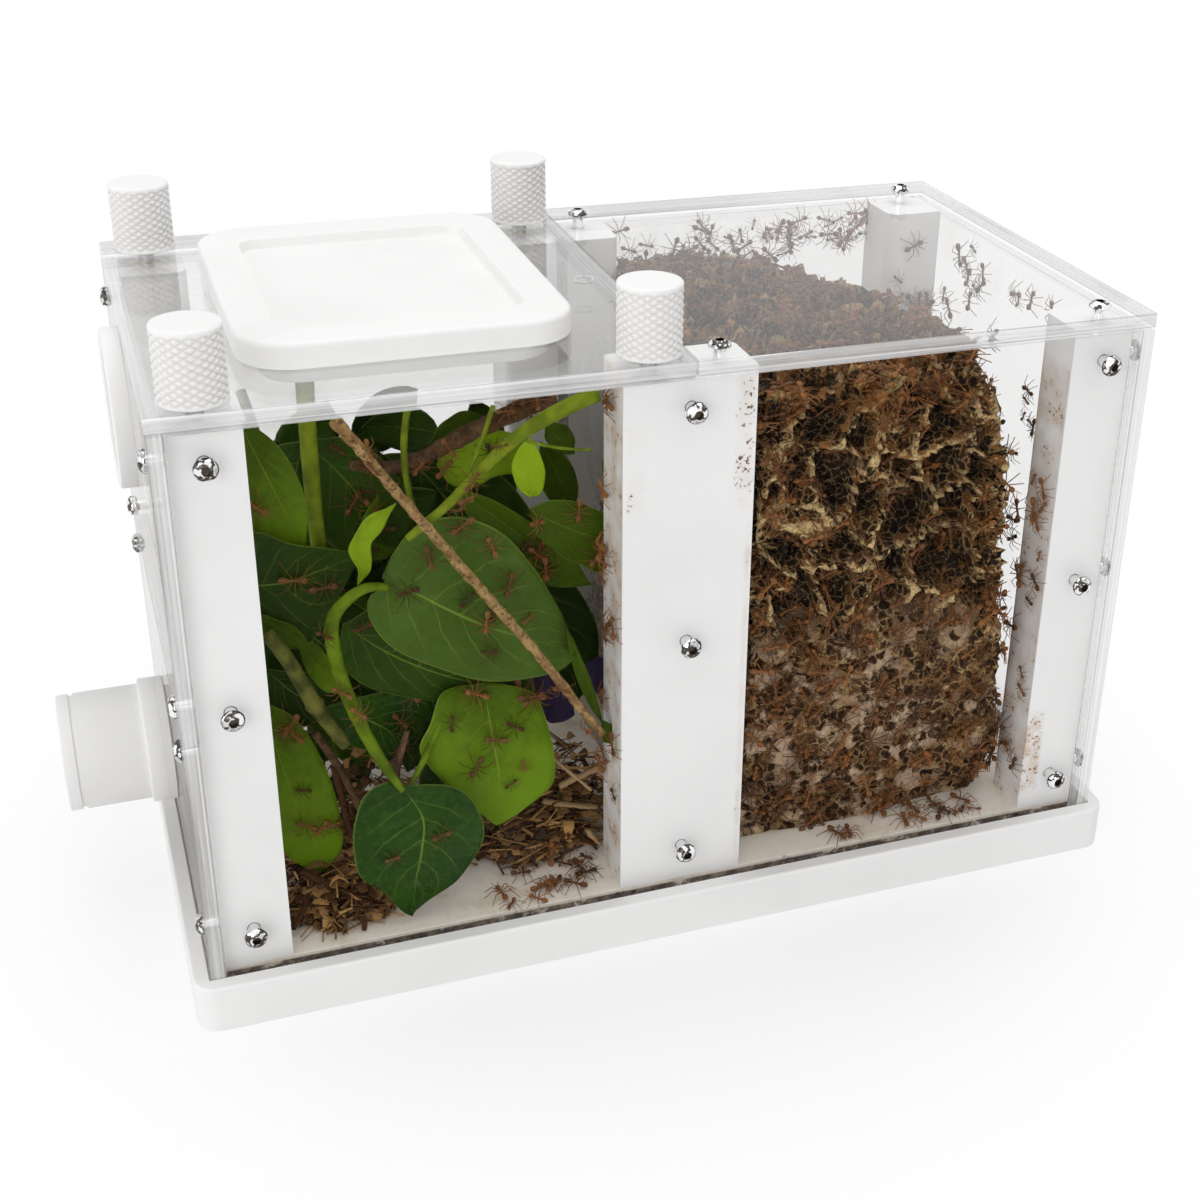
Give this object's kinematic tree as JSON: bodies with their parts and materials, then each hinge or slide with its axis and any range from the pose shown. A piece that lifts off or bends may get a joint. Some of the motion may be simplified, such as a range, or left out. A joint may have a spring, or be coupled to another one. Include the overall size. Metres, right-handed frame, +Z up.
{
  "type": "ant habitat",
  "caption": "Clear two-chamber ant habitat on a white tray, with a lift-off forage cover on thumb screws, feeding lid, vent, tube port, cut leaves and a fungus garden.",
  "frame": {"origin": "centre of the tray's flat underside", "axes": "+X along the length, away from the tube port end; +Y from the front panel to the back; +Z up"},
  "size_m": [0.2818, 0.1426, 0.1803],
  "materials": {
    "white_plastic": "satin printed plastic",
    "clear_acrylic": "clear polished sheet",
    "chrome_screw": "polished",
    "steel_stud": "plain",
    "brass_insert": "plain",
    "steel_mesh": "woven mesh",
    "fungus": "rough, spongy",
    "dark_leaf": "waxy",
    "bright_leaf": "waxy",
    "green_stem": "smooth green stem",
    "brown_wood": "rough bark",
    "purple_petal": "soft",
    "dry_litter": "rough"
  },
  "bodies": {
    "habitat": {"base_tray": "white_plastic", "floor_plate": "clear_acrylic", "front_panel": "clear_acrylic", "back_panel": "clear_acrylic", "right_end_panel": "clear_acrylic", "vent_end_panel": "clear_acrylic", "port_end_panel": "clear_acrylic", "divider_panel": "clear_acrylic", "post_front_left": "white_plastic", "post_front_middle": "white_plastic", "post_front_right": "white_plastic", "post_back_left": "white_plastic", "post_back_middle": "white_plastic", "post_back_right": "white_plastic", "front_screws": "chrome_screw", "back_screws": "chrome_screw", "left_end_screws": "chrome_screw", "right_end_screws": "chrome_screw", "nest_top_screws": "chrome_screw", "thumb_inserts": "brass_insert", "nest_top_plate": "clear_acrylic", "tube_port": "white_plastic", "vent_ring": "white_plastic", "vent_mesh": "steel_mesh", "fungus_garden": "fungus", "leaf_heart": "dark_leaf", "leaf_oval_front": "dark_leaf", "leaf_oval_behind": "dark_leaf", "leaf_lower_middle": "bright_leaf", "leaf_lower_left": "bright_leaf", "leaf_lower_dark": "dark_leaf", "leaf_pointed": "dark_leaf", "leaf_upper_left": "bright_leaf", "leaf_right_upper": "bright_leaf", "leaf_right_long": "bright_leaf", "leaf_top": "bright_leaf", "leaf_top_small": "bright_leaf", "leaf_back_left": "dark_leaf", "leaf_back_middle": "dark_leaf", "leaf_back_right": "dark_leaf", "leaf_back_low": "dark_leaf", "stem_upper": "green_stem", "stem_lower": "green_stem", "stem_upright": "green_stem", "stem_jointed": "green_stem", "twig": "brown_wood", "branch": "brown_wood", "flower_petal": "purple_petal", "litter_left": "dry_litter", "litter_right": "dry_litter"},
    "forage_cover": {"forage_top_plate": "clear_acrylic"},
    "feeding_lid": {"feeding_lid": "white_plastic"},
    "thumb_screw_front_left": {"thumb_knob_front_left": "white_plastic", "thumb_stud_front_left": "steel_stud"},
    "thumb_screw_front_right": {"thumb_knob_front_right": "white_plastic", "thumb_stud_front_right": "steel_stud"},
    "thumb_screw_back_left": {"thumb_knob_back_left": "white_plastic", "thumb_stud_back_left": "steel_stud"},
    "thumb_screw_back_right": {"thumb_knob_back_right": "white_plastic", "thumb_stud_back_right": "steel_stud"}
  },
  "joints": [
    {"name": "forage_cover_lift", "type": "slide", "parent": "habitat", "child": "forage_cover", "axis": [0, 0, 1], "range_m": [0, 0.04]},
    {"name": "feeding_lid_lift", "type": "slide", "parent": "forage_cover", "child": "feeding_lid", "axis": [0, 0, 1], "range_m": [0, 0.03]},
    {"name": "thumb_screw_front_left_turn", "type": "hinge", "parent": "forage_cover", "child": "thumb_screw_front_left", "pos_m": [-0.1135, -0.0585, 0.1625], "axis": [0, 0, 1], "range_deg": [0, 3090]},
    {"name": "thumb_screw_front_right_turn", "type": "hinge", "parent": "forage_cover", "child": "thumb_screw_front_right", "pos_m": [-0.0092, -0.0585, 0.1625], "axis": [0, 0, 1], "range_deg": [0, 3090]},
    {"name": "thumb_screw_back_left_turn", "type": "hinge", "parent": "forage_cover", "child": "thumb_screw_back_left", "pos_m": [-0.1135, 0.0585, 0.1625], "axis": [0, 0, 1], "range_deg": [0, 3090]},
    {"name": "thumb_screw_back_right_turn", "type": "hinge", "parent": "forage_cover", "child": "thumb_screw_back_right", "pos_m": [-0.0092, 0.0585, 0.1625], "axis": [0, 0, 1], "range_deg": [0, 3090]}
  ]
}
